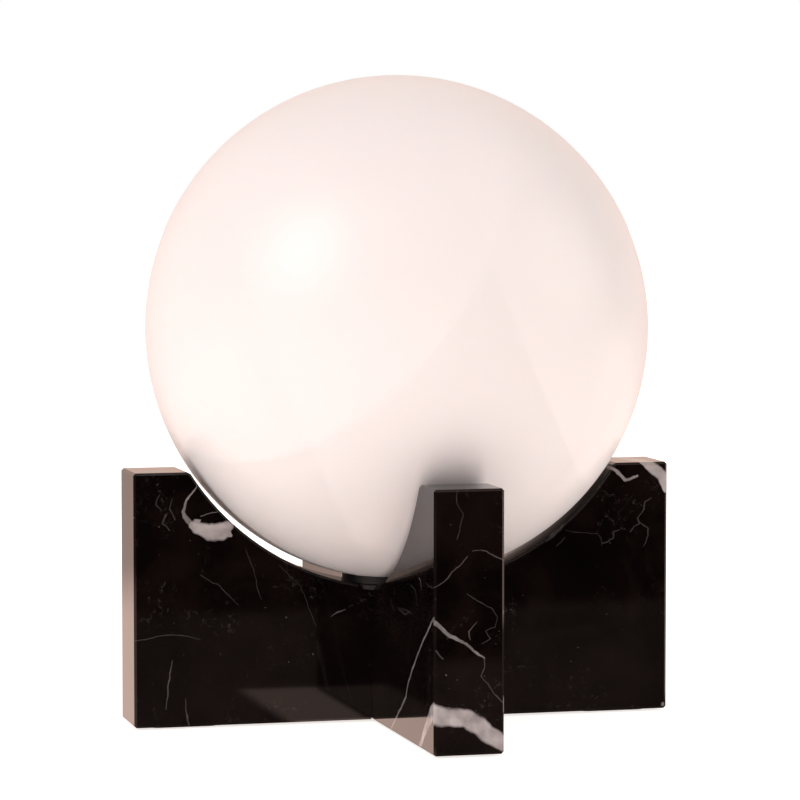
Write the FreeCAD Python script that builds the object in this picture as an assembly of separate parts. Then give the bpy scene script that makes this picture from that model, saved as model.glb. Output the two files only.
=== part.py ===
"""Glass globe table lamp: an opal glass globe cradled by two crossing slabs of polished black marble.

The slabs stand on edge and are half-lapped where they cross. Both are hollowed to an arc that follows the
globe with an even gap. A threaded tube through the crossing clamps a small steel carrier onto the stone and
holds the lampholder above it. The globe has one mouth, underneath: it drops over the bulb and lampholder,
and its rim ring sits on the carrier. Lifting the globe off gives access to the bulb, which screws out.

Units are millimetres. +Z is up, the origin is on the table under the crossing, +Y points to the back, where
the cable leaves. The long slab lies along X and the cross slab along Y.
"""

import FreeCAD, Part
import math
import os

Vec = FreeCAD.Vector
UP = Vec(0, 0, 1)

# ---- driving sizes -------------------------------------------------------------------------------
# stone base
slab_length = 240.0
slab_thickness = 30.0
slab_height = 110.0
stone_under_cradle = 57.5  # stone left below the lowest point of the cradle
stone_bevel = 1.0  # polished 45 degree bevel on every edge
lap_clearance = 0.1  # each side of the half-lap
cradle_gap = 3.0  # between the glass and the stone
spot_face_margin = 0.5  # of the flat machined for the carrier at the crossing, round the carrier
spot_face_depth = 0.5  # below the lowest point of the cradle

# felt pads under the arms
pad_thickness = 1.0
pad_length = 30.0
pad_width = 18.0
pad_corner = 4.0
pad_end_margin = 8.0

# opal glass globe
globe_diameter = 220.0
glass_wall = 3.0
mouth_radius = 22.5
mouth_polish = 0.8  # radius of the fire-polished mouth edges

# silicone ring in the mouth
rim_ring_wall = 1.5
rim_ring_foot = 1.5  # how far the foot reaches out under the glass
seat_gap = 0.3  # running gap between the globe with its ring and what carries it

# threaded tube, nuts and washer, M10 x 1
tube_radius = 5.0
tube_bore_radius = 3.5
tube_clearance = 0.25  # in the stone, washer and carrier
tube_below_nut = 2.5
tube_into_holder = 8.0
nut_across_flats = 14.0
nut_chamfer = 30.0  # degrees
nut_thickness = 4.0
lock_nut_thickness = 3.0
washer_radius = 11.0
washer_thickness = 1.5
counterbore_radius = 12.0
counterbore_depth = 16.0

# cable way under the cross slab
groove_radius = 4.0
bush_length = 6.0
bush_fit = 0.1
bush_bore_radius = 3.1

# steel globe carrier and its gasket
gasket_thickness = 0.5
gasket_margin = 1.5
carrier_plate = 2.0
collar_height = 6.0
collar_wall = 1.2
carrier_edge = 0.5

# lampholder for an E14 cap
holder_radius = 14.0
holder_wall = 1.8
holder_cap_height = 16.0
holder_cap_shoulder = 5.0
holder_body_height = 38.0
holder_boss_radius = 8.0
holder_grip_ribs = 24
holder_grip_radius = 0.5
insert_fit = 0.2
insert_ledge = 2.0  # height of the cap's ledge that carries the insert
insert_recess = 2.0  # insert's rim below the body's rim
cup_clearance = 0.65  # between the bulb's cap and the insert's cup
contact_thickness = 0.4
contact_width = 4.0
contact_gap = 0.3
terminal_offset = 7.5
terminal_head_radius = 2.2
terminal_head_height = 1.6
grub_radius = 1.5
grub_length = 5.0

# LED candle bulb
cap_radius = 6.95
cap_thread_depth = 0.45
cap_thread_pitch = 2.82
cap_turns = 6
cap_wall = 0.4
cap_insertion = 23.5  # bulb's tip below the lampholder's rim
insulator_height = 3.1
tip_radius = 2.4
tip_height = 0.9
housing_standoff = 0.4
housing_height = 27.0
housing_neck_radius = 8.2
housing_top_radius = 16.0
housing_wall = 1.5
envelope_radius = 17.5
envelope_belly = 12.0  # height of the widest part above the envelope's foot
envelope_height = 49.0
envelope_wall = 1.0
envelope_tip_radius = 2.5
mast_disc = 1.5
mast_fit = 0.1
mast_size = 8.0
mast_height = 20.0
chip_size = 2.8
chip_thickness = 0.7
chips_per_side = 3
board_width = 10.0
board_height = 17.0
board_thickness = 1.2

# ---- sizes that follow ---------------------------------------------------------------------------
globe_radius = globe_diameter / 2
glass_inner_radius = globe_radius - glass_wall
cradle_radius = globe_radius + cradle_gap
half_thickness = slab_thickness / 2
stone_bottom = pad_thickness
stone_top = stone_bottom + slab_height
cradle_floor = stone_bottom + stone_under_cradle
globe_centre = cradle_floor + cradle_radius
lap_plane = stone_bottom + stone_under_cradle / 2
spot_face = cradle_floor - spot_face_depth
counterbore_top = stone_bottom + counterbore_depth
tube_hole_radius = tube_radius + tube_clearance

carrier_radius = mouth_radius + rim_ring_foot
spot_face_radius = carrier_radius + spot_face_margin
carrier_bottom = spot_face + gasket_thickness
carrier_top = carrier_bottom + carrier_plate
ring_bottom = carrier_top + seat_gap
ring_inner_radius = mouth_radius - rim_ring_wall
collar_radius = ring_inner_radius - seat_gap
lock_nut_top = carrier_top + lock_nut_thickness

holder_bottom = lock_nut_top
holder_split = holder_bottom + holder_cap_height
holder_top = holder_split + holder_body_height
insert_radius = holder_radius - holder_wall - insert_fit
insert_top = holder_top - insert_recess
cup_radius = cap_radius + cup_clearance
tip_bottom = holder_top - cap_insertion
cap_bottom = tip_bottom + tip_height + insulator_height
housing_bottom = holder_top + housing_standoff
housing_top = housing_bottom + housing_height
housing_shelf = housing_bottom + housing_wall
mast_foot = housing_top + mast_disc


# ---- helpers -------------------------------------------------------------------------------------
def disc(radius, bottom, top):
    """Upright cylinder on the lamp's axis."""
    return Part.makeCylinder(radius, top - bottom, Vec(0, 0, bottom))


def tube(outer, inner, bottom, top):
    """Upright ring on the lamp's axis."""
    return disc(outer, bottom, top).cut(disc(inner, bottom, top))


def block(x0, x1, y0, y1, z0, z1):
    return Part.makeBox(x1 - x0, y1 - y0, z1 - z0, Vec(x0, y0, z0))


def at(radius, height):
    """Point of a turned profile."""
    return Vec(radius, 0, height)


def line(a, b):
    return Part.LineSegment(a, b).toShape()


def arc(a, middle, b):
    return Part.Arc(a, middle, b).toShape()


def turned(edges):
    """Solid of revolution about the lamp's axis from the edges of a closed profile, taken in order."""
    return Part.Face(Part.Wire(edges)).revolve(Vec(0, 0, 0), UP, 360)


def turned_polygon(points):
    corners = [at(radius, height) for radius, height in points]
    return turned([line(a, b) for a, b in zip(corners, corners[1:] + corners[:1])])


def hexagon_nut(across_flats, bore_radius, bottom, top):
    corner_radius = across_flats / math.sqrt(3)
    corners = []
    for i in range(7):
        angle = math.radians(60 * i)
        corners.append(Vec(corner_radius * math.cos(angle), corner_radius * math.sin(angle), bottom))
    prism = Part.Face(Part.makePolygon(corners)).extrude(UP * (top - bottom))
    slope = math.tan(math.radians(nut_chamfer))
    chamfer_rise = (corner_radius - across_flats / 2) * slope
    crown = Part.makeCone(corner_radius + (top - bottom) / slope, across_flats / 2,
                          top - bottom + chamfer_rise, Vec(0, 0, bottom - chamfer_rise))
    return prism.common(crown).cut(disc(bore_radius, bottom, top))


def arc_about(centre, start, end):
    """Arc round a centre from one point to another, the short way."""
    middle = (start - centre) + (end - centre)
    middle.normalize()
    return arc(start, centre + middle * (start - centre).Length, end)


def ogive_centre(widest, other):
    """Centre of the arc between two profile points that runs upright at the widest one."""
    rise = other.z - widest.z
    middle = (widest.x ** 2 - other.x ** 2 - rise ** 2) / (2 * (widest.x - other.x))
    return at(middle, widest.z)


def quarter_turned(shape, quarters):
    turned_shape = shape.copy()
    turned_shape.rotate(Vec(0, 0, 0), UP, 90 * quarters)
    return turned_shape


def edges_near_height(shape, height):
    """Edges that lie wholly at one height."""
    found = []
    for edge in shape.Edges:
        box = edge.BoundBox
        if abs(box.ZMin - height) < 1e-4 and abs(box.ZMax - height) < 1e-4:
            found.append(edge)
    return found


# ---- stone base ----------------------------------------------------------------------------------
def plain_slab():
    """Slab along X with the cradle's arc in its top and its edges bevelled, before joints and holes."""
    half_length = slab_length / 2
    lip = math.sqrt(cradle_radius ** 2 - (globe_centre - stone_top) ** 2)
    back = half_thickness

    def corner(x, z):
        return Vec(x, back, z)

    outline = [
        line(corner(-half_length, stone_bottom), corner(half_length, stone_bottom)),
        line(corner(half_length, stone_bottom), corner(half_length, stone_top)),
        line(corner(half_length, stone_top), corner(lip, stone_top)),
        arc(corner(lip, stone_top), corner(0, cradle_floor), corner(-lip, stone_top)),
        line(corner(-lip, stone_top), corner(-half_length, stone_top)),
        line(corner(-half_length, stone_top), corner(-half_length, stone_bottom)),
    ]
    slab = Part.Face(Part.Wire(outline)).extrude(Vec(0, -slab_thickness, 0))
    return slab.makeChamfer(stone_bevel, slab.Edges)


def crossing_cuts():
    """The flat for the carrier and the hole for the tube, shared by both slabs."""
    flat = disc(spot_face_radius, spot_face, globe_centre)
    return flat.fuse(disc(tube_hole_radius, stone_bottom, globe_centre))


def long_slab():
    """Left-to-right slab, notched from below."""
    notch_half = half_thickness + lap_clearance
    notch = block(-notch_half, notch_half, -slab_thickness, slab_thickness, 0, lap_plane)
    return plain_slab().cut(notch).cut(crossing_cuts())


def cable_way():
    """Round-topped groove from the counterbore to the back end of the cross slab."""
    axis_height = stone_bottom + groove_radius
    bottom_half = block(-groove_radius, groove_radius, 0, slab_length / 2, 0, axis_height)
    round_top = Part.makeCylinder(groove_radius, slab_length / 2, Vec(0, 0, axis_height), Vec(0, 1, 0))
    return bottom_half.fuse(round_top)


def cross_slab():
    """Front-to-back slab, notched from above, with the nut's counterbore and the cable way below."""
    notch_half = half_thickness + lap_clearance
    notch = block(-slab_thickness, slab_thickness, -notch_half, notch_half, lap_plane, stone_top)
    slab = quarter_turned(plain_slab(), 1).cut(notch).cut(crossing_cuts())
    slab = slab.cut(disc(counterbore_radius, 0, counterbore_top))
    return slab.cut(cable_way())


def cable_bush():
    """Rubber bush in the mouth of the cable way, flush with the back end of the stone."""
    radius = groove_radius - bush_fit
    axis_height = stone_bottom + groove_radius
    back = slab_length / 2 - stone_bevel
    front = back - bush_length
    foot = block(-radius, radius, front, back, stone_bottom, axis_height)
    crown = Part.makeCylinder(radius, bush_length, Vec(0, front, axis_height), Vec(0, 1, 0))
    bore = Part.makeCylinder(bush_bore_radius, bush_length, Vec(0, front, axis_height), Vec(0, 1, 0))
    return foot.fuse(crown).cut(bore).removeSplitter()


def felt_pad():
    """Pad under the arm that points to +X."""
    outer = slab_length / 2 - pad_end_margin
    pad = block(outer - pad_length, outer, -pad_width / 2, pad_width / 2, 0, pad_thickness)
    upright = [e for e in pad.Edges if e.BoundBox.ZLength > pad_thickness / 2]
    return pad.makeFillet(pad_corner, upright)


# ---- tube, nuts and carrier ----------------------------------------------------------------------
washer_bottom = counterbore_top - washer_thickness
nut_bottom = washer_bottom - nut_thickness
tube_bottom = nut_bottom - tube_below_nut
tube_top = holder_bottom + tube_into_holder


def threaded_tube():
    return tube(tube_radius, tube_bore_radius, tube_bottom, tube_top)


def bottom_washer():
    return tube(washer_radius, tube_hole_radius, washer_bottom, counterbore_top)


def bottom_nut():
    return hexagon_nut(nut_across_flats, tube_radius, nut_bottom, washer_bottom)


def carrier_gasket():
    return tube(carrier_radius - gasket_margin, tube_hole_radius, spot_face, carrier_bottom)


def globe_carrier():
    """Pressed steel plate with an upright collar that keeps the globe's mouth central."""
    plate = tube(carrier_radius, tube_hole_radius, carrier_bottom, carrier_top)
    plate = plate.makeFillet(carrier_edge, [e for e in edges_near_height(plate, carrier_top)
                                            if e.BoundBox.XLength > carrier_radius])
    collar = tube(collar_radius, collar_radius - collar_wall, carrier_top, carrier_top + collar_height)
    return plate.fuse(collar).removeSplitter()


def lock_nut():
    return hexagon_nut(nut_across_flats, tube_radius, carrier_top, lock_nut_top)


# ---- lampholder ----------------------------------------------------------------------------------
def holder_cap():
    """Lower half of the lampholder: a shouldered shell with a threaded boss round the tube."""
    shoulder = holder_bottom + holder_cap_shoulder
    neck = holder_boss_radius + holder_wall
    inner = holder_radius - holder_wall
    boss_top = tube_top + holder_wall
    ledge = inner - holder_wall
    shell = turned_polygon([
        (tube_radius, holder_bottom), (neck, holder_bottom), (holder_radius, shoulder),
        (holder_radius, holder_split), (ledge, holder_split), (ledge, holder_split - insert_ledge),
        (inner, holder_split - insert_ledge - holder_wall), (inner, shoulder + holder_wall),
        (holder_boss_radius, holder_bottom + 2 * holder_wall), (holder_boss_radius, boss_top),
        (tube_bore_radius, boss_top), (tube_bore_radius, tube_top), (tube_radius, tube_top),
    ])
    return shell.cut(grub_shank(holder_radius))


def grub_height():
    return (holder_bottom + tube_top) / 2 + holder_wall


def grub_shank(length):
    """Cylinder of the grub screw's size, from the tube out towards the front."""
    return Part.makeCylinder(grub_radius, length, Vec(0, -tube_radius, grub_height()), Vec(0, -1, 0))


def grub_screw():
    """Small screw through the boss that keeps the lampholder from turning on the tube."""
    screw = grub_shank(grub_length)
    slot_width = grub_radius / 2
    slot_front = -tube_radius - grub_length
    slot = block(-grub_radius, grub_radius, slot_front, slot_front + slot_width,
                 grub_height() - slot_width / 2, grub_height() + slot_width / 2)
    return screw.cut(slot)


def holder_body():
    """Upper half of the lampholder: a ribbed sleeve with an open top."""
    inner = holder_radius - holder_wall
    sleeve = tube(holder_radius, inner, holder_split, holder_top)
    rim = tube(inner, cup_radius + holder_wall, insert_top, holder_top)
    sleeve = sleeve.fuse(rim).removeSplitter()
    sleeve = sleeve.makeFillet(holder_wall / 2, [e for e in edges_near_height(sleeve, holder_top)
                                                 if e.BoundBox.XLength > 2 * inner])
    rib_bottom = holder_split + holder_wall
    rib_top = holder_split + holder_body_height / 2
    for i in range(holder_grip_ribs):
        angle = 2 * math.pi * i / holder_grip_ribs
        centre = Vec(holder_radius * math.cos(angle), holder_radius * math.sin(angle), rib_bottom)
        sleeve = sleeve.cut(Part.makeCylinder(holder_grip_radius, rib_top - rib_bottom, centre))
    return sleeve


def cup_floor():
    return tip_bottom - contact_gap - contact_thickness


def holder_insert():
    """Moulded core on the cap's ledge: cup for the bulb, pockets for the terminals, slot for a contact."""
    core = disc(insert_radius, holder_split, insert_top)
    core = core.cut(disc(cup_radius, cup_floor(), insert_top))
    pocket_radius = terminal_head_radius + insert_fit
    pocket_depth = terminal_head_height + insert_fit
    for side in (-1, 1):
        mouth = Vec(side * terminal_offset, 0, holder_split)
        core = core.cut(Part.makeCylinder(pocket_radius, pocket_depth, mouth))
    slot = block(cup_radius - contact_thickness, cup_radius + contact_thickness, -contact_width / 2,
                 contact_width / 2, cup_floor(), insert_top - insert_recess)
    return core.cut(slot)


def side_contact():
    """Brass strip that stands in the insert's slot beside the bulb's threaded cap."""
    return block(cup_radius, cup_radius + contact_thickness, -contact_width / 2, contact_width / 2,
                 cup_floor(), insert_top - insert_recess)


def centre_contact():
    """Brass tongue across the floor of the cup, under the bulb's tip."""
    return block(-cup_radius / 2, cup_radius / 2, -contact_width / 2, contact_width / 2, cup_floor(),
                 cup_floor() + contact_thickness)


def terminal_screws():
    """Slotted screw heads in the insert's pockets, their slots downwards."""
    bottom = holder_split + insert_fit
    screws = []
    for side in (-1, 1):
        middle = side * terminal_offset
        head = Part.makeCylinder(terminal_head_radius, terminal_head_height, Vec(middle, 0, bottom))
        slot = block(middle - terminal_head_radius, middle + terminal_head_radius, -contact_thickness,
                     contact_thickness, bottom, bottom + terminal_head_height / 2)
        screws.append(head.cut(slot))
    return Part.makeCompound(screws)


# ---- bulb ----------------------------------------------------------------------------------------
def bulb_cap():
    """Screw cap with rounded thread rings, one for each turn."""
    root = cap_radius - cap_thread_depth
    inner = root - cap_wall
    edges = []
    start = at(root, cap_bottom)
    for turn in range(cap_turns):
        middle = at(cap_radius, cap_bottom + cap_thread_pitch * (turn + 0.5))
        end = at(root, cap_bottom + cap_thread_pitch * (turn + 1))
        edges.append(arc(start, middle, end))
        start = end
    edges.append(line(start, at(root, housing_bottom)))
    edges.append(line(at(root, housing_bottom), at(inner, housing_bottom)))
    edges.append(line(at(inner, housing_bottom), at(inner, cap_bottom)))
    edges.append(line(at(inner, cap_bottom), at(root, cap_bottom)))
    return turned(edges)


def bulb_insulator():
    root = cap_radius - cap_thread_depth
    return Part.makeCone(tip_radius, root, insulator_height, Vec(0, 0, tip_bottom + tip_height))


def bulb_tip():
    """Solder dome at the bottom of the cap."""
    ball = Part.makeSphere(tip_radius, Vec(0, 0, tip_bottom + tip_radius))
    return ball.common(disc(tip_radius, tip_bottom, tip_bottom + tip_height))


def housing_bowl(floor, inset):
    """Solid that fills the housing's outline, drawn in by a wall, above a floor."""
    neck = at(housing_neck_radius - inset, housing_shelf)
    rim = at(housing_top_radius - inset, housing_top)
    flare = turned([
        line(at(0, housing_shelf), neck),
        arc_about(ogive_centre(rim, neck), neck, rim),
        line(rim, at(0, housing_top)),
        line(at(0, housing_top), at(0, housing_shelf)),
    ])
    if floor < housing_shelf:
        flare = flare.fuse(disc(housing_neck_radius - inset, floor, housing_shelf))
    return flare


def bulb_housing():
    """Plastic housing that flares from the cap to the envelope and holds the driver."""
    bore = cap_radius - cap_thread_depth - cap_wall
    bowl = housing_bowl(housing_bottom, 0).cut(housing_bowl(housing_shelf, housing_wall))
    return bowl.cut(disc(bore, housing_bottom, housing_shelf))


def candle(inset):
    """Solid candle shape on the housing's rim, drawn in by a wall."""
    foot = at(housing_top_radius - inset, housing_top)
    belly = at(envelope_radius - inset, housing_top + envelope_belly)
    dome = at(0, housing_top + envelope_height - envelope_tip_radius)
    tip_radius_here = envelope_tip_radius - inset
    tip_side = at(tip_radius_here, dome.z)
    tip_top = at(0, dome.z + tip_radius_here)
    return turned([
        arc_about(ogive_centre(belly, foot), foot, belly),
        arc_about(ogive_centre(belly, tip_side), belly, tip_side),
        arc_about(dome, tip_side, tip_top),
        line(tip_top, at(0, housing_top)),
        line(at(0, housing_top), foot),
    ])


def bulb_envelope():
    """Thin candle-shaped cover over the LEDs."""
    return candle(0).cut(candle(envelope_wall))


def led_mast():
    """Aluminium post on a disc that stands on the housing's rim and carries the LEDs into the envelope."""
    half = mast_size / 2
    base = disc(housing_top_radius - envelope_wall - mast_fit, housing_top, mast_foot)
    return base.fuse(block(-half, half, -half, half, mast_foot, mast_foot + mast_height)).removeSplitter()


def led_chips():
    """LED packages on the four sides of the mast."""
    half = mast_size / 2
    step = mast_height / chips_per_side
    chips = []
    for side in range(4):
        for row in range(chips_per_side):
            middle = mast_foot + step * (row + 0.5)
            chip = block(half, half + chip_thickness, -chip_size / 2, chip_size / 2, middle - chip_size / 2,
                         middle + chip_size / 2)
            chips.append(quarter_turned(chip, side))
    return Part.makeCompound(chips)


def driver_board():
    """Driver's circuit board, upright in the housing under the mast's disc."""
    return block(-board_width / 2, board_width / 2, -board_thickness / 2, board_thickness / 2,
                 housing_top - board_height, housing_top)


# ---- globe ---------------------------------------------------------------------------------------
def mouth_height(radius):
    """Height at which a sphere of this radius meets the mouth's upright wall."""
    return globe_centre - math.sqrt(radius ** 2 - mouth_radius ** 2)


def glass_globe():
    """Blown sphere with one mouth underneath, its edges fire-polished."""
    centre = Vec(0, 0, globe_centre)
    shell = Part.makeSphere(globe_radius, centre).cut(Part.makeSphere(glass_inner_radius, centre))
    shell = shell.cut(disc(mouth_radius, stone_bottom, globe_centre))
    rims = edges_near_height(shell, mouth_height(globe_radius))
    rims += edges_near_height(shell, mouth_height(glass_inner_radius))
    return shell.makeFillet(mouth_polish, rims)


def rim_ring():
    """Silicone ring clipped in the mouth: a sleeve with a foot under the glass and a lip above it."""
    lip_top = mouth_height(glass_inner_radius) + 2 * rim_ring_wall
    sleeve = tube(mouth_radius + rim_ring_foot, ring_inner_radius, ring_bottom, lip_top)
    centre = Vec(0, 0, globe_centre)
    wall = Part.makeSphere(globe_radius, centre).cut(Part.makeSphere(glass_inner_radius, centre))
    return sleeve.cut(wall.cut(disc(mouth_radius, ring_bottom, lip_top)))


# ---- write every piece ---------------------------------------------------------------------------
ARM_NAMES = ["right", "rear", "left", "front"]

pieces = {
    "long_slab": long_slab(),
    "cross_slab": cross_slab(),
    "cable_bush": cable_bush(),
    "threaded_tube": threaded_tube(),
    "bottom_washer": bottom_washer(),
    "bottom_nut": bottom_nut(),
    "carrier_gasket": carrier_gasket(),
    "globe_carrier": globe_carrier(),
    "lock_nut": lock_nut(),
    "holder_cap": holder_cap(),
    "grub_screw": grub_screw(),
    "holder_body": holder_body(),
    "holder_insert": holder_insert(),
    "side_contact": side_contact(),
    "centre_contact": centre_contact(),
    "terminal_screws": terminal_screws(),
    "bulb_cap": bulb_cap(),
    "bulb_insulator": bulb_insulator(),
    "bulb_tip": bulb_tip(),
    "bulb_housing": bulb_housing(),
    "bulb_envelope": bulb_envelope(),
    "led_mast": led_mast(),
    "led_chips": led_chips(),
    "driver_board": driver_board(),
    "glass_globe": glass_globe(),
    "rim_ring": rim_ring(),
}
for quarter, arm in enumerate(ARM_NAMES):
    pieces["felt_pad_" + arm] = quarter_turned(felt_pad(), quarter)

os.makedirs("parts", exist_ok=True)
for name, shape in pieces.items():
    shape.exportStep("parts/" + name + ".step")
    print(name, "solids", len(shape.Solids), "valid", shape.isValid(), "volume mm3", round(shape.Volume, 1))
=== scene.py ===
import bpy
import math
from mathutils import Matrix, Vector


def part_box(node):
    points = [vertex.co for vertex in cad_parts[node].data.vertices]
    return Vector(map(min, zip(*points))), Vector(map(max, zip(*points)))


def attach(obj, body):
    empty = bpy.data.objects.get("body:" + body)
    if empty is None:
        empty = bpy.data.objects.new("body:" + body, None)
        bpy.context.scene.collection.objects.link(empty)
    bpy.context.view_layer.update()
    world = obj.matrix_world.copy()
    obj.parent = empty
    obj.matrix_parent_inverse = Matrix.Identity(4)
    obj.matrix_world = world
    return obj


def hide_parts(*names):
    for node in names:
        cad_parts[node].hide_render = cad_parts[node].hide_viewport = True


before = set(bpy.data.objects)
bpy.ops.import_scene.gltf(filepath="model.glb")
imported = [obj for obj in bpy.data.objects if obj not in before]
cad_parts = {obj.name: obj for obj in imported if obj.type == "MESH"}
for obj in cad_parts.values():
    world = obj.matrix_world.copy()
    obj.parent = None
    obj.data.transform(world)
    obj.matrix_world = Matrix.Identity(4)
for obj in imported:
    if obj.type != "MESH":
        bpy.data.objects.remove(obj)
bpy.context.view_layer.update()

# ---- Long slab and cross slab ---------------------------------------------------------------------
# Two slabs of black marble, sawn, polished on every face and bevelled by 1 mm on every edge. They are
# half-lapped where they cross. Pale calcite fills old cracks in the stone, so a vein runs right through
# a slab and comes out on its other side a little further on. Lengths in this section are in millimetres.
MM = 0.001
stone_bevel = 1.0
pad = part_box("long_slab")[0][2] / MM
slab_end = -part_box("long_slab")[0][0] / MM
slab_face = -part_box("long_slab")[0][1] / MM


def new_finish(name):
    """New material with its node tree, its Principled shader and a Texture Coordinate node."""
    material = bpy.data.materials.new(name)
    material.use_nodes = True
    tree = material.node_tree
    place = tree.nodes.new("ShaderNodeTexCoord")
    return material, tree, tree.nodes["Principled BSDF"], place.outputs["Object"]


def dress(node_name, material):
    """Gives a CAD node its finish."""
    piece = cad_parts[node_name]
    if not piece.material_slots:
        piece.data.materials.append(material)
    for slot in piece.material_slots:
        slot.material = material


def new_group(name, inputs, outputs):
    """New shader node group. A socket is (name, type) or (name, type, value)."""
    group = bpy.data.node_groups.new(name, "ShaderNodeTree")
    for direction, sockets in (("INPUT", inputs), ("OUTPUT", outputs)):
        for socket in sockets:
            kind = "NodeSocket" + socket[1]
            made = group.interface.new_socket(name=socket[0], in_out=direction, socket_type=kind)
            if len(socket) > 2:
                made.default_value = socket[2]
    return group, group.nodes.new("NodeGroupInput").outputs, group.nodes.new("NodeGroupOutput").inputs


def use_group(tree, group):
    node = tree.nodes.new("ShaderNodeGroup")
    node.node_tree = group
    return node


def feed(tree, socket, value):
    """Links a socket to another node's output, or sets its value."""
    if isinstance(value, bpy.types.NodeSocket):
        tree.links.new(value, socket)
    else:
        socket.default_value = value


def calc(tree, operation, a, b=0.0, c=0.0, clamp=False):
    node = tree.nodes.new("ShaderNodeMath")
    node.operation = operation
    node.use_clamp = clamp
    for socket, value in zip(node.inputs, (a, b, c)):
        feed(tree, socket, value)
    return node.outputs[0]


def vector_calc(tree, operation, a, b=(0.0, 0.0, 0.0), scale=1.0):
    node = tree.nodes.new("ShaderNodeVectorMath")
    node.operation = operation
    feed(tree, node.inputs[0], a)
    feed(tree, node.inputs[1], b)
    if operation == "SCALE":
        feed(tree, node.inputs[3], scale)
    return node.outputs[1 if operation in ("DOT_PRODUCT", "DISTANCE", "LENGTH") else 0]


def noise(tree, place, size, detail=3.0, roughness=0.5, warp=0.0):
    """Noise whose features are about size across, in the units of its place."""
    node = tree.nodes.new("ShaderNodeTexNoise")
    node.inputs["Scale"].default_value = 1.0 / size
    node.inputs["Detail"].default_value = detail
    node.inputs["Roughness"].default_value = roughness
    node.inputs["Distortion"].default_value = warp
    tree.links.new(place, node.inputs["Vector"])
    return node.outputs


def remap(tree, value, low, high, to_low=0.0, to_high=1.0):
    node = tree.nodes.new("ShaderNodeMapRange")
    node.interpolation_type = "SMOOTHSTEP"
    for name, given in (("Value", value), ("From Min", low), ("From Max", high), ("To Min", to_low),
                        ("To Max", to_high)):
        feed(tree, node.inputs[name], given)
    return node.outputs["Result"]


def blend_colours(tree, mask, first, second):
    node = tree.nodes.new("ShaderNodeMix")
    node.data_type = "RGBA"
    feed(tree, node.inputs["Factor"], mask)
    feed(tree, node.inputs["A"], first)
    feed(tree, node.inputs["B"], second)
    return node.outputs["Result"]


def make_vein_stroke():
    """One straight stretch of a vein: 1 on its line, fading out past its half width."""
    tree, given, result = new_group(
        "vein stroke",
        [("Place", "Vector"), ("Start", "Vector"), ("End", "Vector"), ("Start Width", "Float", 1.0),
         ("End Width", "Float", 1.0), ("Strength", "Float", 1.0), ("Before", "Float", 0.0)],
        [("Vein", "Float")])
    run = vector_calc(tree, "SUBTRACT", given["End"], given["Start"])
    reach = vector_calc(tree, "SUBTRACT", given["Place"], given["Start"])
    share = calc(tree, "DIVIDE", vector_calc(tree, "DOT_PRODUCT", reach, run),
                 vector_calc(tree, "DOT_PRODUCT", run, run), clamp=True)
    nearest = vector_calc(tree, "ADD", given["Start"], vector_calc(tree, "SCALE", run, scale=share))
    away = vector_calc(tree, "DISTANCE", given["Place"], nearest)
    gain = calc(tree, "SUBTRACT", given["End Width"], given["Start Width"])
    width = calc(tree, "MULTIPLY_ADD", share, gain, given["Start Width"])
    edge = calc(tree, "MULTIPLY_ADD", width, 0.30, 0.16)
    inside = calc(tree, "DIVIDE", calc(tree, "SUBTRACT", width, away), edge)
    solid = calc(tree, "ADD", inside, 0.5, clamp=True)
    tree.links.new(calc(tree, "MAXIMUM", given["Before"], calc(tree, "MULTIPLY", solid, given["Strength"])),
                   result["Vein"])
    return tree


def make_stone_place():
    """Place in the stone in millimetres, wandering the way cracks do."""
    tree, given, result = new_group("stone place", [("Object", "Vector")],
                                    [("Plain", "Vector"), ("Wandering", "Vector")])
    plain = vector_calc(tree, "SCALE", given["Object"], scale=1.0 / MM)
    tree.links.new(plain, result["Plain"])
    wandering = plain
    for size, reach in ((16.0, 2.6), (4.0, 1.3), (1.2, 0.25)):
        drift = vector_calc(tree, "SUBTRACT", noise(tree, plain, size, 2.0)["Color"], (0.5, 0.5, 0.5))
        wandering = vector_calc(tree, "ADD", wandering, vector_calc(tree, "SCALE", drift, scale=reach))
    tree.links.new(wandering, result["Wandering"])
    return tree


def make_crackle():
    """Hairlines: the edges of irregular cells, shown only where a cloud of noise lets them through."""
    tree, given, result = new_group(
        "marble crackle",
        [("Place", "Vector"), ("Cell", "Float", 20.0), ("Width", "Float", 0.01), ("Cover", "Float", 0.5)],
        [("Line", "Float")])
    bent = vector_calc(tree, "ADD", given["Place"], vector_calc(
        tree, "SCALE", noise(tree, given["Place"], 7.0, 6.0, 0.72)["Color"], scale=16.0))
    cells = tree.nodes.new("ShaderNodeTexVoronoi")
    cells.feature = "DISTANCE_TO_EDGE"
    tree.links.new(bent, cells.inputs["Vector"])
    tree.links.new(calc(tree, "DIVIDE", 1.0, given["Cell"]), cells.inputs["Scale"])
    line = remap(tree, cells.outputs["Distance"], given["Width"], 0.0)
    cloud = noise(tree, given["Place"], 26.0, 2.0)["Fac"]
    shown = remap(tree, cloud, given["Cover"], calc(tree, "ADD", given["Cover"], 0.16))
    broken = remap(tree, noise(tree, given["Place"], 2.6, 4.0, 0.6)["Fac"], 0.44, 0.72)
    tree.links.new(calc(tree, "MULTIPLY", calc(tree, "MULTIPLY", line, shown), broken), result["Line"])
    return tree


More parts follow.
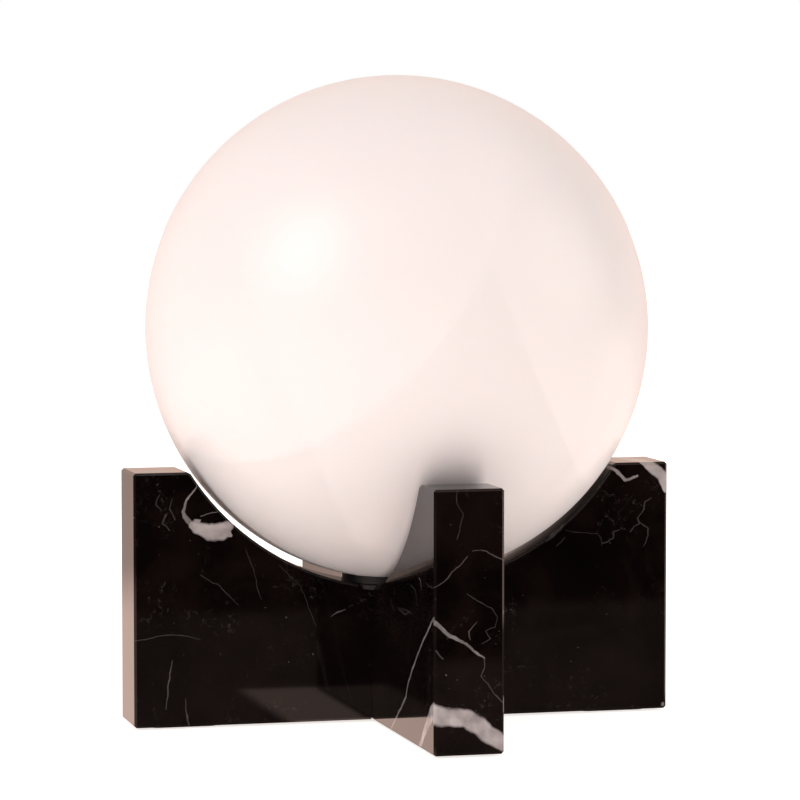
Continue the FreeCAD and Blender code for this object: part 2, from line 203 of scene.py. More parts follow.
def make_black_marble():
    """Colours and polish of the stone, from where its main veins are."""
    tree, given, result = new_group(
        "black marble", [("Plain", "Vector"), ("Wandering", "Vector"), ("Vein", "Float")],
        [("Color", "Color"), ("Roughness", "Float"), ("Relief", "Float")])
    cloud = noise(tree, given["Plain"], 30.0, 5.0, 0.6, 0.6)["Fac"]
    ground = blend_colours(tree, remap(tree, cloud, 0.35, 0.7), (0.0024, 0.0012, 0.0011, 1.0),
                           (0.0075, 0.0040, 0.0034, 1.0))
    lines = 0.0
    for cell, width, cover, strength in ((31.0, 0.009, 0.47, 0.16), (12.0, 0.017, 0.52, 0.11),
                                         (5.0, 0.030, 0.55, 0.07)):
        crackle = use_group(tree, crackle_group)
        tree.links.new(given["Plain"], crackle.inputs["Place"])
        crackle.inputs["Cell"].default_value = cell
        crackle.inputs["Width"].default_value = width
        crackle.inputs["Cover"].default_value = cover
        lines = calc(tree, "MAXIMUM", lines, calc(tree, "MULTIPLY", crackle.outputs["Line"], strength))
    flecks = remap(tree, noise(tree, given["Plain"], 1.5, 1.0)["Fac"], 0.74, 0.82, 0.0, 0.30)
    body = remap(tree, noise(tree, given["Wandering"], 6.0, 2.0, 0.4)["Fac"], 0.30, 0.66, 0.62, 1.0)
    vein = calc(tree, "MULTIPLY", given["Vein"], body)
    white = calc(tree, "MAXIMUM", calc(tree, "MAXIMUM", vein, lines), calc(tree, "MULTIPLY", flecks, cloud),
                 clamp=True)
    calcite = blend_colours(tree, noise(tree, given["Plain"], 9.0, 2.0)["Fac"], (0.56, 0.49, 0.47, 1.0),
                            (0.31, 0.26, 0.26, 1.0))
    tree.links.new(blend_colours(tree, white, ground, calcite), result["Color"])
    tree.links.new(calc(tree, "MULTIPLY_ADD", white, 0.10, 0.055), result["Roughness"])
    tree.links.new(calc(tree, "MULTIPLY_ADD", white, -0.6, noise(tree, given["Plain"], 45.0, 1.0)["Fac"]),
                   result["Relief"])
    return tree


vein_stroke = make_vein_stroke()
stone_place = make_stone_place()
crackle_group = make_crackle()
black_marble = make_black_marble()


def draw_veins(tree, face_place, veins, drawn=0.0):
    """Adds veins to a mask. A vein is (strength, [(across, up, half width), ...]) in millimetres on a face. A
    vein of one point is a spot."""
    for strength, course in veins:
        for here, there in zip(course, course[1:] or course):
            stroke = use_group(tree, vein_stroke)
            feed(tree, stroke.inputs["Place"], face_place)
            stroke.inputs["Start"].default_value = (here[0], here[1], 0.0)
            stroke.inputs["End"].default_value = (there[0], there[1], 0.0)
            stroke.inputs["Start Width"].default_value = here[2]
            stroke.inputs["End Width"].default_value = there[2]
            stroke.inputs["Strength"].default_value = strength
            feed(tree, stroke.inputs["Before"], drawn)
            drawn = stroke.outputs["Vein"]
    return drawn


def marble(name, depth_axis, shear, veins):
    """Black marble with its own veins. Each goes through the slab along the depth axis, leaning by the shear."""
    material, tree, shader, place = new_finish(name)
    spot = use_group(tree, stone_place)
    tree.links.new(place, spot.inputs["Object"])
    split = tree.nodes.new("ShaderNodeSeparateXYZ")
    tree.links.new(spot.outputs["Wandering"], split.inputs[0])
    depth = calc(tree, "ADD", split.outputs[depth_axis], slab_face)
    across = calc(tree, "MULTIPLY_ADD", depth, shear[0], split.outputs[1 - depth_axis])
    up = calc(tree, "MULTIPLY_ADD", depth, shear[1], calc(tree, "SUBTRACT", split.outputs[2], pad))
    flat = tree.nodes.new("ShaderNodeCombineXYZ")
    tree.links.new(across, flat.inputs[0])
    tree.links.new(up, flat.inputs[1])
    return material, tree, shader, spot, draw_veins(tree, flat.outputs[0], veins)


def finish_marble(tree, shader, spot, drawn):
    stone = use_group(tree, black_marble)
    tree.links.new(spot.outputs["Plain"], stone.inputs["Plain"])
    tree.links.new(spot.outputs["Wandering"], stone.inputs["Wandering"])
    tree.links.new(drawn, stone.inputs["Vein"])
    tree.links.new(stone.outputs["Color"], shader.inputs["Base Color"])
    tree.links.new(stone.outputs["Roughness"], shader.inputs["Roughness"])
    bump = tree.nodes.new("ShaderNodeBump")
    bump.inputs["Strength"].default_value = 0.25
    bump.inputs["Distance"].default_value = 0.00004
    tree.links.new(stone.outputs["Relief"], bump.inputs["Height"])
    tree.links.new(bump.outputs["Normal"], shader.inputs["Normal"])
    shader.inputs["IOR"].default_value = 1.35


long_slab_veins = [
    (0.50, [(-91.5, 105, 0.15), (-94.3, 101.5, 0.3), (-96.8, 97.6, 0.45), (-98.6, 93.2, 0.75), (-98.0, 91, 0.9),
            (-94.5, 87.5, 1.1)]),
    (0.95, [(-94.6, 87.6, 1.5), (-92, 86.2, 2.6), (-87, 84.2, 3.3), (-82, 84.6, 3.8), (-79.2, 86.5, 2.6)]),
    (0.80, [(-92.4, 88.6, 1.5), (-91, 89.6, 0.3)]),
    (0.95, [(-79, 83.5, 1.6), (-77.4, 82.4, 0.6)]),
    (0.30, [(-90.8, 91.2, 0.2), (-87.2, 92.1, 0.14), (-82.2, 93.4, 0.1)]),
    (0.10, [(-106, 92, 0.5), (-107, 88, 0.25), (-104, 85, 0.2)]),
    (0.09, [(-103, 99, 0.2), (-104.5, 95, 0.35), (-102, 90, 0.2)]),
    (0.09, [(-109, 101, 0.15), (-110, 97, 0.3), (-108, 94, 0.15)]),
    (0.08, [(-91, 66, 0.15), (-82, 60, 0.2), (-74, 52, 0.15)]),
    (0.07, [(-71, 76, 0.15), (-67, 66, 0.2), (-64, 54, 0.15)]),
    (0.07, [(-56, 69, 0.15), (-47, 60, 0.15), (-40, 42, 0.15)]),
    (0.22, [(-33, 46, 0.15), (-30, 48, 0.35), (-27, 49, 0.15)]),
    (0.26, [(-42, 30, 0.3)]),
    (0.20, [(-52, 27, 0.2)]),
    (0.16, [(-82, 31, 0.2)]),
    (0.09, [(-120, 38, 0.2), (-104, 40, 0.25), (-91, 38, 0.15)]),
    (0.15, [(-104, 29, 0.15), (-105, 19, 0.3), (-106, 8, 0.15)]),
    (0.13, [(-98, 12, 0.15), (-97, 7, 0.25), (-96, 0, 0.35)]),
    (0.55, [(92, 110, 0.6), (97, 106, 0.8), (100, 102, 0.7), (106, 104, 0.4)]),
    (0.90, [(108, 110, 0.8), (113, 108, 2.4), (118, 104, 2.2), (119, 97, 1.0)]),
    (0.09, [(64.0, 76.3, 0.2), (66.6, 78.3, 0.45), (70.3, 80.7, 0.4), (72.4, 83.2, 0.2)]),
    (0.07, [(73.0, 80.1, 0.15), (79.8, 79.2, 0.15), (88.3, 78.7, 0.15), (89.7, 77.2, 0.2), (89.7, 73.6, 0.12)]),
    (0.09, [(89.9, 74.6, 0.2), (94.7, 76.5, 0.35), (95.2, 79.6, 0.25), (97.9, 80.0, 0.15)]),
    (0.09, [(102.7, 79.4, 0.2), (106.9, 82.8, 0.3), (105.8, 85.4, 0.25), (109, 89.4, 0.3), (109, 92.5, 0.25),
            (112.7, 94.4, 0.2)]),
    (0.08, [(106.9, 83.4, 0.2), (110.7, 80.7, 0.3), (111.2, 77.6, 0.3), (109.1, 73.1, 0.15)]),
    (0.07, [(68.8, 73.7, 0.15), (71.9, 76.9, 0.2)]),
    (0.40, [(118, 2, 0.8)]),
]
long_slab_marble, tree, shader, spot, drawn = marble("long slab marble", 1, (0.35, -0.20), long_slab_veins)
finish_marble(tree, shader, spot, drawn)
dress("long_slab", long_slab_marble)

side_veins = [
    (0.50, [(-120, 57, 0.5), (-116, 55, 0.7), (-97, 42, 0.5), (-78, 25.4, 0.6), (-74, 18.4, 0.6), (-59, 8.2, 0.5),
            (-46, -0.6, 0.6)]),
    (0.75, [(-121, 19.0, 3.6), (-116, 17.3, 3.2), (-110, 12.5, 2.3), (-103, 6.5, 1.8), (-95, -1, 1.2)]),
    (0.30, [(-95.6, 71.5, 0.15), (-98.7, 70.0, 0.35), (-99.7, 67.2, 0.15)]),
    (0.10, [(-55.1, 61.8, 0.2), (-52.9, 57.5, 0.3)]),
    (0.15, [(-82.0, 66.8, 0.15), (-90.4, 66.1, 0.2), (-91.4, 62.5, 0.25), (-93.5, 59.8, 0.3)]),
    (0.14, [(-46.3, 57.0, 0.15), (-49.6, 55.2, 0.3), (-54.0, 52.4, 0.2)]),
    (0.15, [(-61.6, 54.4, 0.2), (-72.4, 53.3, 0.35), (-80.9, 55.1, 0.2)]),
    (0.10, [(-104.9, 70.7, 0.15), (-111.0, 69.8, 0.2), (-117.1, 69.2, 0.3)]),
    (0.50, [(40, 58, 0.5), (58, 44, 0.7), (74, 37, 0.5), (96, 12, 0.8), (104, -1, 0.7)]),
    (0.80, [(88, 111, 1.0), (96, 100, 2.0), (107, 92, 3.0), (121, 84, 3.4)]),
]
front_veins = [
    (0.42, [(-16.5, 56.2, 0.95), (-11.9, 52.4, 0.9), (-8.1, 49.9, 0.8), (-2.8, 47.0, 0.65), (1.8, 43.3, 0.5),
            (6.4, 40.0, 0.3)]),
    (0.12, [(6.4, 40.0, 0.25), (5.6, 32.7, 0.2), (11.0, 25.1, 0.25), (14.8, 21.2, 0.2)]),
    (0.95, [(-17.0, 18.3, 4.1), (-11.0, 16.4, 3.7), (-1.0, 15.3, 3.5), (3.5, 12.2, 3.9), (7.5, 9.0, 3.5),
            (14.6, 5.0, 2.8), (17.0, 3.6, 2.6)]),
    (0.16, [(1.0, 84.4, 0.15), (6.3, 84.3, 0.2), (10.9, 81.9, 0.2), (15.1, 80.0, 0.2)]),
    (0.07, [(-5.1, 109.6, 0.15), (-5.9, 104.4, 0.2), (-2.8, 100.0, 0.15), (-3.6, 96.3, 0.2), (-5.1, 89.7, 0.15)]),
    (0.13, [(-1.3, 82.3, 0.15), (-4.3, 78.7, 0.2), (-8.9, 74.4, 0.25), (-12.6, 70.8, 0.2), (-16.0, 69.5, 0.2)]),
    (0.08, [(-1.3, 66.8, 0.15), (3.3, 63.7, 0.2), (9.4, 60.6, 0.2), (12.4, 56.8, 0.2), (10.9, 52.4, 0.2),
            (7.1, 51.1, 0.15), (9.4, 48.0, 0.2), (5.6, 46.0, 0.15)]),
    (0.14, [(3.3, 54.9, 0.15), (0.3, 51.3, 0.25), (1.0, 47.6, 0.15)]),
    (0.20, [(-9.6, 33.9, 0.35)]),
    (0.10, [(-14.1, 44.4, 0.3), (-11.1, 40.6, 0.4)]),
]
cross_slab_marble, tree, shader, spot, drawn = marble("cross slab marble", 0, (0.30, -0.25), side_veins)
ends = tree.nodes.new("ShaderNodeSeparateXYZ")
tree.links.new(spot.outputs["Wandering"], ends.inputs[0])
end_face = tree.nodes.new("ShaderNodeCombineXYZ")
tree.links.new(ends.outputs[0], end_face.inputs[0])
tree.links.new(calc(tree, "SUBTRACT", ends.outputs[2], pad), end_face.inputs[1])
plain = tree.nodes.new("ShaderNodeSeparateXYZ")
tree.links.new(spot.outputs["Plain"], plain.inputs[0])
bevel_start = slab_end - stone_bevel
inwards = calc(tree, "SUBTRACT", bevel_start, calc(tree, "ABSOLUTE", plain.outputs[1]))
drawn = calc(tree, "MULTIPLY", drawn, calc(tree, "ADD", calc(tree, "DIVIDE", inwards, 0.5), 1.0, clamp=True))
end_fade = 6.0
behind_bevel = calc(tree, "MAXIMUM", calc(tree, "SUBTRACT", plain.outputs[1], -bevel_start), 0.0)
tree.links.new(calc(tree, "MULTIPLY", behind_bevel, end_fade), end_face.inputs[2])
drawn = draw_veins(tree, end_face.outputs[0], front_veins, drawn)
finish_marble(tree, shader, spot, drawn)
dress("cross_slab", cross_slab_marble)

# ---- Felt pads ------------------------------------------------------------------------------------
# Thin pads of pressed black felt, die-cut with round corners and glued under the ends of the four arms.
felt, tree, shader, place = new_finish("pressed felt")
fibres = noise(tree, place, 0.0006, 6.0, 0.75, 2.5)["Fac"]
tree.links.new(blend_colours(tree, fibres, (0.010, 0.010, 0.011, 1.0), (0.045, 0.043, 0.042, 1.0)),
               shader.inputs["Base Color"])
bump = tree.nodes.new("ShaderNodeBump")
bump.inputs["Distance"].default_value = 0.0003
tree.links.new(fibres, bump.inputs["Height"])
tree.links.new(bump.outputs["Normal"], shader.inputs["Normal"])
shader.inputs["Roughness"].default_value = 1.0
shader.inputs["Sheen Weight"].default_value = 0.4
for arm in ("right", "rear", "left", "front"):
    dress("felt_pad_" + arm, felt)


def make_surface_grain():
    """Fine irregularity of a worked or moulded surface: a tone and a relief about a given size."""
    tree, given, result = new_group(
        "surface grain", [("Object", "Vector"), ("Size", "Float", 0.001), ("Stretch", "Vector", (1.0, 1.0, 1.0))],
        [("Tone", "Float"), ("Relief", "Float")])
    near = vector_calc(tree, "MULTIPLY", given["Object"], given["Stretch"])
    node_place = vector_calc(tree, "SCALE", near, scale=calc(tree, "DIVIDE", 1.0, given["Size"]))
    tree.links.new(noise(tree, node_place, 6.0, 3.0)["Fac"], result["Tone"])
    tree.links.new(noise(tree, node_place, 1.0, 2.0)["Fac"], result["Relief"])
    return tree


surface_grain = make_surface_grain()


def plain_finish(name, dark, light, roughness, spread, size, relief, metallic=0.0, stretch=(1.0, 1.0, 1.0)):
    """Finish with one colour that drifts between two tones, a roughness that drifts, and a fine relief."""
    material, tree, shader, place = new_finish(name)
    grain = use_group(tree, surface_grain)
    tree.links.new(place, grain.inputs["Object"])
    grain.inputs["Size"].default_value = size
    grain.inputs["Stretch"].default_value = stretch
    tree.links.new(blend_colours(tree, grain.outputs["Tone"], (*dark, 1.0), (*light, 1.0)),
                   shader.inputs["Base Color"])
    tree.links.new(calc(tree, "MULTIPLY_ADD", grain.outputs["Tone"], spread, roughness),
                   shader.inputs["Roughness"])
    bump = tree.nodes.new("ShaderNodeBump")
    bump.inputs["Strength"].default_value = 0.6
    bump.inputs["Distance"].default_value = relief
    tree.links.new(grain.outputs["Relief"], bump.inputs["Height"])
    tree.links.new(bump.outputs["Normal"], shader.inputs["Normal"])
    shader.inputs["Metallic"].default_value = metallic
    return material, shader


# ---- Cable bush, gasket and rim ring --------------------------------------------------------------
# Moulded black rubber: the bush in the mouth of the cable way, the gasket under the steel carrier and the
# silicone ring in the globe's mouth.
rubber, shader = plain_finish("black rubber", (0.012, 0.012, 0.012), (0.022, 0.021, 0.020), 0.55, 0.2, 0.0004,
                              0.00002)
for name in ("cable_bush", "carrier_gasket", "rim_ring"):
    dress(name, rubber)

# ---- Washer, nuts and grub screw ------------------------------------------------------------------
# Turned and pressed steel, bright zinc plated: a thin silvery coat with a slightly cloudy shine.
zinc, shader = plain_finish("bright zinc", (0.52, 0.53, 0.54), (0.68, 0.68, 0.67), 0.22, 0.16, 0.0008, 0.00001,
                            1.0)
for name in ("bottom_washer", "bottom_nut", "lock_nut", "grub_screw"):
    dress(name, zinc)

# ---- Threaded tube --------------------------------------------------------------------------------
# M10 x 1 steel tube, threaded all the way, that clamps the crossing and carries the lampholder. Its thread
# is one ridge that climbs 1 mm a turn, cut into a tube with a smooth bore.
tube_low, tube_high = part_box("threaded_tube")
tube_pitch = 1.0 * MM
tube_radius = tube_high[0]
tube_bore = 3.5 * MM
tube_root = tube_radius - 0.6 * tube_pitch
tube_steps = 32


def thread_ridge(name, root, crest, pitch, turns, foot, steps, flat):
    """Open skin with a ridge that climbs round the upright axis: a short profile, screwed upwards."""
    heights = (0.0, (0.5 - flat) * pitch, 0.5 * pitch + flat * pitch, pitch)
    outs = (root, crest, crest, root)
    mesh = bpy.data.meshes.new(name)
    mesh.from_pydata([(r, 0.0, foot + h) for r, h in zip(outs, heights)], [(0, 1), (1, 2), (2, 3)], [])
    piece = bpy.data.objects.new(name, mesh)
    bpy.context.collection.objects.link(piece)
    bpy.ops.object.select_all(action="DESELECT")
    piece.select_set(True)
    bpy.context.view_layer.objects.active = piece
    screw = piece.modifiers.new("climb", "SCREW")
    screw.axis = "Z"
    screw.angle = 2 * math.pi
    screw.screw_offset = pitch
    screw.iterations = turns
    screw.steps = steps
    screw.render_steps = steps
    screw.use_merge_vertices = True
    screw.merge_threshold = 0.000001
    bpy.ops.object.modifier_apply(modifier="climb")
    return piece


def cut_flat(piece, height, keep_above):
    """Cuts a piece off level and keeps one side; the cut is left open."""
    bpy.ops.object.select_all(action="DESELECT")
    piece.select_set(True)
    bpy.context.view_layer.objects.active = piece
    bpy.ops.object.mode_set(mode="EDIT")
    bpy.ops.mesh.select_all(action="SELECT")
    bpy.ops.mesh.bisect(plane_co=(0, 0, height), plane_no=(0, 0, 1), clear_inner=keep_above,
                        clear_outer=not keep_above, use_fill=False)
    bpy.ops.object.mode_set(mode="OBJECT")


def line_bore(piece, bore, bottom, top):
    """Joins the rims of an open skin to a bore, so that it becomes a closed wall."""
    bpy.ops.object.mode_set(mode="EDIT")
    bpy.ops.mesh.select_mode(type="EDGE")
    for height in (bottom, top):
        bpy.ops.mesh.select_all(action="DESELECT")
        bpy.ops.object.mode_set(mode="OBJECT")
        for vertex in piece.data.vertices:
            vertex.select = abs(vertex.co.z - height) < 1e-6
        for edge in piece.data.edges:
            edge.select = all(piece.data.vertices[i].select for i in edge.vertices)
        radius = sum(v.co.to_2d().length for v in piece.data.vertices if v.select) / max(
            1, sum(1 for v in piece.data.vertices if v.select))
        bpy.ops.object.mode_set(mode="EDIT")
        bpy.ops.mesh.extrude_edges_move()
        bpy.ops.transform.resize(value=(bore / radius, bore / radius, 1.0), center_override=(0, 0, height))
    bpy.ops.object.mode_set(mode="OBJECT")
    for vertex in piece.data.vertices:
        vertex.select = vertex.co.to_2d().length < bore * 1.08
        if vertex.select:
            flat_place = vertex.co.to_2d().normalized() * bore
            vertex.co = (flat_place.x, flat_place.y, bottom if vertex.co.z < (bottom + top) / 2 else top)
    for edge in piece.data.edges:
        edge.select = all(piece.data.vertices[i].select for i in edge.vertices)
    bpy.ops.object.mode_set(mode="EDIT")
    bpy.ops.mesh.bridge_edge_loops()
    bpy.ops.mesh.select_all(action="SELECT")
    bpy.ops.mesh.remove_doubles(threshold=0.000001)
    bpy.ops.mesh.normals_make_consistent(inside=False)
    bpy.ops.object.mode_set(mode="OBJECT")
    bpy.ops.object.shade_smooth_by_angle(angle=math.radians(35))


tube_turns = math.ceil((tube_high[2] - tube_low[2]) / tube_pitch) + 2
thread = thread_ridge("threaded_tube_screw", tube_root, tube_radius, tube_pitch, tube_turns,
                      tube_low[2] - tube_pitch, tube_steps, 0.08)
cut_flat(thread, tube_low[2], True)
cut_flat(thread, tube_high[2], False)
line_bore(thread, tube_bore, tube_low[2], tube_high[2])
thread.data.materials.append(zinc)
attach(thread, "base")
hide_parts("threaded_tube")

# ---- Globe carrier --------------------------------------------------------------------------------
# Pressed steel plate with an upright collar, powder coated in satin black. The coat has a faint orange peel.
powder, shader = plain_finish("black powder coat", (0.010, 0.010, 0.010), (0.020, 0.019, 0.019), 0.38, 0.12,
                              0.0006, 0.00003)
dress("globe_carrier", powder)

# ---- Lampholder -----------------------------------------------------------------------------------
# Two-part shell in black thermoplastic with a moulded core in off-white. The contacts and terminal screws
# are plain brass, stamped and slotted.
shell_plastic, shader = plain_finish("black thermoplastic", (0.014, 0.014, 0.014), (0.024, 0.023, 0.022), 0.30,
                                     0.14, 0.0007, 0.000015)
core_plastic, shader = plain_finish("off-white thermoset", (0.62, 0.59, 0.53), (0.70, 0.67, 0.61), 0.45, 0.15,
                                    0.0009, 0.00002)
brass, shader = plain_finish("plain brass", (0.70, 0.50, 0.20), (0.82, 0.62, 0.30), 0.20, 0.18, 0.0006, 0.00001,
                             1.0)
dress("holder_cap", shell_plastic)
dress("holder_body", shell_plastic)
dress("holder_insert", core_plastic)
for name in ("side_contact", "centre_contact", "terminal_screws"):
    dress(name, brass)

# ---- Bulb -----------------------------------------------------------------------------------------
# LED candle bulb: nickel-plated screw cap with a black glass insulator and a solder tip, a matt white
# housing with the driver in it, and a frosted cover over LEDs on an aluminium post.
nickel, shader = plain_finish("nickel plate", (0.60, 0.58, 0.54), (0.72, 0.70, 0.66), 0.16, 0.14, 0.0006,
                              0.00001, 1.0)
cap_low, cap_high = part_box("bulb_cap")
cap_crest = cap_high[0]
cap_root = cap_crest - 0.9 * MM
cap_pitch = 2.82 * MM
cap_skin = 0.4 * MM
cap_neck = 2.9 * MM
cap_turns = math.ceil((cap_high[2] - cap_low[2] - cap_neck) / cap_pitch) + 2
cap = thread_ridge("bulb_cap_screw", cap_root, cap_crest, cap_pitch, cap_turns, cap_low[2] - cap_pitch, 64, 0.16)
cut_flat(cap, cap_low[2], True)
cut_flat(cap, cap_high[2], False)
line_bore(cap, cap_root - cap_skin, cap_low[2], cap_high[2])
cap.data.materials.append(nickel)
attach(cap, "bulb")
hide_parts("bulb_cap")

insulator_glass, shader = plain_finish("black insulator glass", (0.010, 0.009, 0.014), (0.018, 0.016, 0.022),
                                       0.08, 0.05, 0.0008, 0.000005)
dress("bulb_insulator", insulator_glass)
solder, shader = plain_finish("solder", (0.50, 0.50, 0.51), (0.66, 0.66, 0.66), 0.30, 0.2, 0.0004, 0.00003, 1.0)
dress("bulb_tip", solder)
housing_plastic, shader = plain_finish("matt white plastic", (0.80, 0.80, 0.78), (0.86, 0.86, 0.84), 0.48, 0.1,
                                       0.0005, 0.00001)
dress("bulb_housing", housing_plastic)
frosted, shader = plain_finish("frosted cover", (0.86, 0.86, 0.84), (0.90, 0.90, 0.88), 0.38, 0.08, 0.0004,
                               0.000006)
shader.inputs["Subsurface Weight"].default_value = 0.3
shader.inputs["Subsurface Radius"].default_value = (0.004, 0.004, 0.004)
dress("bulb_envelope", frosted)
aluminium, shader = plain_finish("aluminium", (0.66, 0.67, 0.68), (0.78, 0.78, 0.78), 0.28, 0.12, 0.0004,
                                 0.00001, 1.0, (1.0, 1.0, 0.15))
dress("led_mast", aluminium)
phosphor, shader = plain_finish("LED phosphor", (0.82, 0.62, 0.12), (0.90, 0.72, 0.20), 0.5, 0.1, 0.0003, 0.00001)
dress("led_chips", phosphor)
solder_mask, shader = plain_finish("green solder mask", (0.01, 0.09, 0.04), (0.02, 0.14, 0.06), 0.28, 0.1,
                                   0.0006, 0.00001)
dress("driver_board", solder_mask)

# ---- Globe ----------------------------------------------------------------------------------------
# Mouth-blown opal glass, 3 mm thick, etched to a satin skin inside and out. One mouth underneath, cut level
# and fire-polished, takes the rim ring and drops over the lampholder.
globe_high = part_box("glass_globe")[1]
glass_wall = 3.0 * MM
rim_foot = 1.5 * MM
mouth_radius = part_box("rim_ring")[1][0] - rim_foot
globe_radius = globe_high[0]
globe_centre = globe_high[2] - globe_radius
mouth_height = globe_centre - math.sqrt(globe_radius ** 2 - mouth_radius ** 2)
bpy.ops.object.select_all(action="DESELECT")
bpy.ops.mesh.primitive_uv_sphere_add(segments=192, ring_count=128, radius=globe_radius,
                                     location=(0, 0, globe_centre))
globe = bpy.context.object
globe.name = "opal_globe"
bpy.ops.object.transform_apply(location=True, rotation=True, scale=True)
bpy.ops.object.mode_set(mode="EDIT")
bpy.ops.mesh.select_all(action="SELECT")
bpy.ops.mesh.bisect(plane_co=(0, 0, mouth_height), plane_no=(0, 0, 1), clear_inner=True, clear_outer=False)
bpy.ops.object.mode_set(mode="OBJECT")
wall = globe.modifiers.new("wall", "SOLIDIFY")
wall.thickness = glass_wall
wall.offset = -1.0
bpy.ops.object.modifier_apply(modifier="wall")
polish = globe.modifiers.new("fire polish", "BEVEL")
polish.width = 0.8 * MM
polish.segments = 4
polish.limit_method = "ANGLE"
polish.angle_limit = math.radians(50)
bpy.ops.object.modifier_apply(modifier="fire polish")
bpy.ops.object.shade_smooth_by_angle(angle=math.radians(60))

opal, tree, shader, place = new_finish("satin opal glass")
cloud = noise(tree, place, 0.09, 2.0)["Fac"]
tree.links.new(blend_colours(tree, cloud, (0.915, 0.815, 0.795, 1.0), (0.935, 0.835, 0.815, 1.0)),
               shader.inputs["Base Color"])
etch = noise(tree, place, 0.0004, 2.0)["Fac"]
tree.links.new(calc(tree, "MULTIPLY_ADD", noise(tree, place, 0.02, 3.0)["Fac"], 0.05, 0.30),
               shader.inputs["Roughness"])
bump = tree.nodes.new("ShaderNodeBump")
bump.inputs["Strength"].default_value = 0.12
bump.inputs["Distance"].default_value = 0.000008
tree.links.new(etch, bump.inputs["Height"])
tree.links.new(bump.outputs["Normal"], shader.inputs["Normal"])
shader.inputs["IOR"].default_value = 1.5
shader.inputs["Subsurface Weight"].default_value = 0.6
shader.inputs["Subsurface Radius"].default_value = (0.012, 0.010, 0.009)
globe.data.materials.append(opal)
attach(globe, "globe")
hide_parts("glass_globe")

# ---- Floor, light and camera ----------------------------------------------------------------------
# A pale floor that shows white to the camera, a large soft light from the upper left and a weaker warm one
# from the right. In the polish of the stone the floor is dim in front and bright behind and at the left, so
# that the front faces stay black and the left ends shine.
bpy.ops.object.select_all(action="DESELECT")
bpy.ops.mesh.primitive_plane_add(size=16.0, location=(0, 0, 0))
floor = bpy.context.object
floor.name = "floor"
pale, tree, shader, place = new_finish("pale floor")
shader.inputs["Roughness"].default_value = 0.9
shader.inputs["Specular IOR Level"].default_value = 0.2
rays = tree.nodes.new("ShaderNodeLightPath")
split = tree.nodes.new("ShaderNodeSeparateXYZ")
tree.links.new(place, split.inputs[0])
mirror = rays.outputs["Is Glossy Ray"]
tree.links.new(blend_colours(tree, mirror, (0.84, 0.80, 0.78, 1.0), (0.0, 0.0, 0.0, 1.0)),
               shader.inputs["Base Color"])
# Painted reflections: the stone's polish alone sees the floor dim in front, with bright warm patches behind,
# beside the left end and in a strip just left of the cross slab.
near_side = remap(tree, split.outputs[1], -0.43, -0.38, 0.0, 0.2)
beyond = remap(tree, split.outputs[1], 0.35, 0.65)
floor_x, floor_y = split.outputs[0], split.outputs[1]
beside = calc(tree, "MULTIPLY", remap(tree, floor_x, -0.115, -0.125), remap(tree, floor_y, -0.13, -0.10))
by_cross_slab = calc(tree, "MULTIPLY", remap(tree, floor_x, -0.055, -0.045), remap(tree, floor_x, -0.012, -0.018))
inner_corner = calc(tree, "MULTIPLY", by_cross_slab, remap(tree, floor_y, -0.13, -0.12))
painted_reflection_patches = calc(tree, "MAXIMUM", calc(tree, "MAXIMUM", beside, inner_corner),
                   remap(tree, floor_y, -0.01, 0.01))
far_side = calc(tree, "MULTIPLY", painted_reflection_patches, calc(tree, "MULTIPLY_ADD", beyond, -0.70, 1.30))
mirrored = calc(tree, "MULTIPLY", mirror, calc(tree, "ADD", near_side, far_side))
# The floor also glows to diffuse rays, so it lights the object from below more than a plain pale floor would.
lifted = calc(tree, "MULTIPLY_ADD", rays.outputs["Is Diffuse Ray"], 0.80, mirrored)
tree.links.new(calc(tree, "MULTIPLY_ADD", rays.outputs["Is Camera Ray"], 0.80, lifted),
               shader.inputs["Emission Strength"])
tree.links.new(blend_colours(tree, mirror, (1.0, 0.95, 0.92, 1.0), (1.0, 0.72, 0.62, 1.0)),
               shader.inputs["Emission Color"])
floor.data.materials.append(pale)


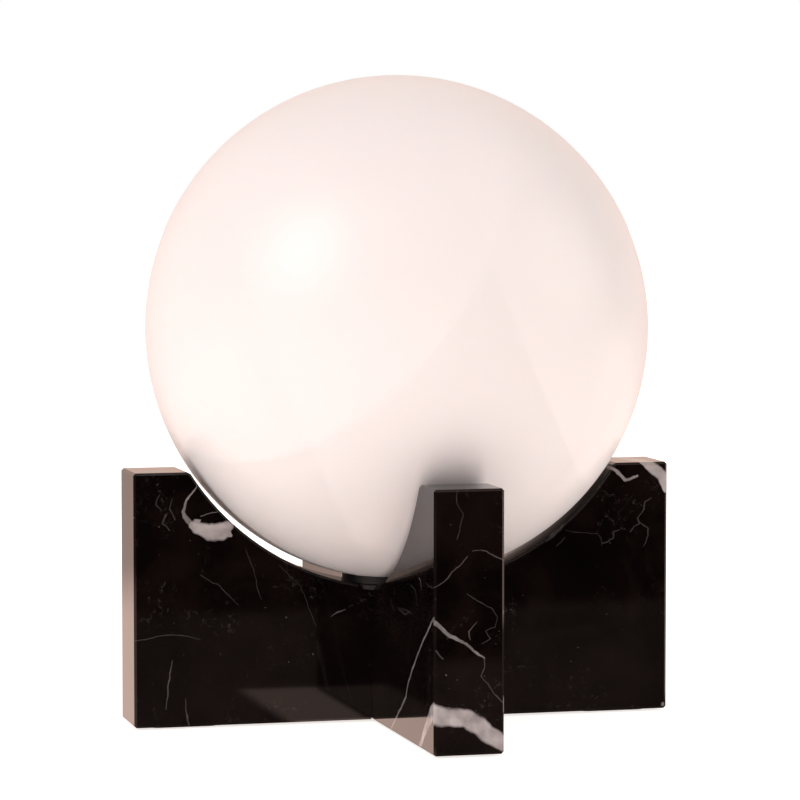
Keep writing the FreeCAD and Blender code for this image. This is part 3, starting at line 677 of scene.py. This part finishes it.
def soft_light(name, place, target, size, power, colour):
    lamp = bpy.data.lights.new(name, "AREA")
    lamp.shape = "DISK"
    lamp.size = size
    lamp.energy = power
    lamp.color = colour
    piece = bpy.data.objects.new(name, lamp)
    piece.location = place
    piece.rotation_euler = (Vector(target) - Vector(place)).to_track_quat("-Z", "Y").to_euler()
    bpy.context.collection.objects.link(piece)


middle = (0.0, 0.0, 0.15)
soft_light("key", (-1.7, -0.9, 1.5), middle, 1.4, 17.0, (1.0, 0.985, 0.97))
soft_light("fill", (1.8, -0.6, 0.9), middle, 1.4, 6.0, (1.0, 0.93, 0.86))

world = bpy.data.worlds.new("studio")
bpy.context.scene.world = world
world.use_nodes = True
tree = world.node_tree
air = tree.nodes["Background"]
rays = tree.nodes.new("ShaderNodeLightPath")
where = tree.nodes.new("ShaderNodeTexCoord")
split = tree.nodes.new("ShaderNodeSeparateXYZ")
tree.links.new(where.outputs["Generated"], split.inputs[0])
behind = remap(tree, split.outputs[1], 0.35, 0.75, 0.02, 0.95)
above = remap(tree, split.outputs[2], 0.35, 0.9)
bright = calc(tree, "MAXIMUM", behind, calc(tree, "MULTIPLY", above, 0.85))
seen = calc(tree, "MAXIMUM", rays.outputs["Is Camera Ray"], rays.outputs["Is Transmission Ray"])
mirrored = calc(tree, "MULTIPLY", rays.outputs["Is Glossy Ray"], bright)
lit = calc(tree, "MULTIPLY", rays.outputs["Is Diffuse Ray"], 0.70)
tree.links.new(calc(tree, "ADD", calc(tree, "ADD", seen, mirrored), lit), air.inputs["Strength"])
tree.links.new(blend_colours(tree, rays.outputs["Is Glossy Ray"], (1.0, 1.0, 1.0, 1.0), (1.0, 0.72, 0.60, 1.0)),
               air.inputs["Color"])

camera_place = (-0.4260, -1.6560, 0.2589)
camera_yaw = math.radians(14.4765)
camera_dip = math.radians(3.9947)
lens = bpy.data.cameras.new("camera")
lens.sensor_width = 36.0
lens.lens = 175.92
camera = bpy.data.objects.new("camera", lens)
camera.location = camera_place
camera.rotation_euler = (math.pi / 2 - camera_dip, 0.0, -camera_yaw)
bpy.context.collection.objects.link(camera)
bpy.context.scene.camera = camera
bpy.context.scene.view_settings.view_transform = "Standard"
